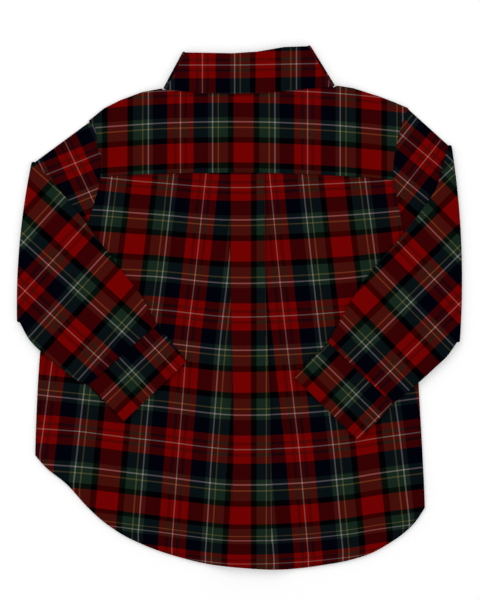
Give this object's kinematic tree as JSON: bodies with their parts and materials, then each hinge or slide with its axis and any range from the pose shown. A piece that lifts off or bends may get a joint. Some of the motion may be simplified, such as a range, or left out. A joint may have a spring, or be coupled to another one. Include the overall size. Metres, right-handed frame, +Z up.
{
  "type": "toddler's long-sleeved tartan shirt",
  "caption": "Child's long-sleeved tartan button-front shirt with collar, yoke and box pleat, laid face down with its sleeves folded over the back.",
  "frame": {"origin": "centre of the bounding box, on the table the shirt lies on", "axes": "+Z up from the table, +Y towards the collar, +X to the right as it lies, the wearer's right"},
  "size_m": [0.3568, 0.4194, 0.0093],
  "materials": {
    "tartan": "matte woven cotton",
    "buttons": "gloss"
  },
  "bodies": {
    "root": {"front_left": "tartan", "front_right": "tartan", "yoke": "tartan", "back": "tartan", "collar_leaf": "tartan", "collar_stand": "tartan", "sleeve_left": "tartan", "sleeve_right": "tartan", "cuff_left": "tartan", "cuff_right": "tartan", "button_collar": "buttons", "button_front_1": "buttons", "button_front_2": "buttons", "button_front_3": "buttons", "button_front_4": "buttons", "button_front_5": "buttons", "button_front_6": "buttons"}
  },
  "joints": []
}
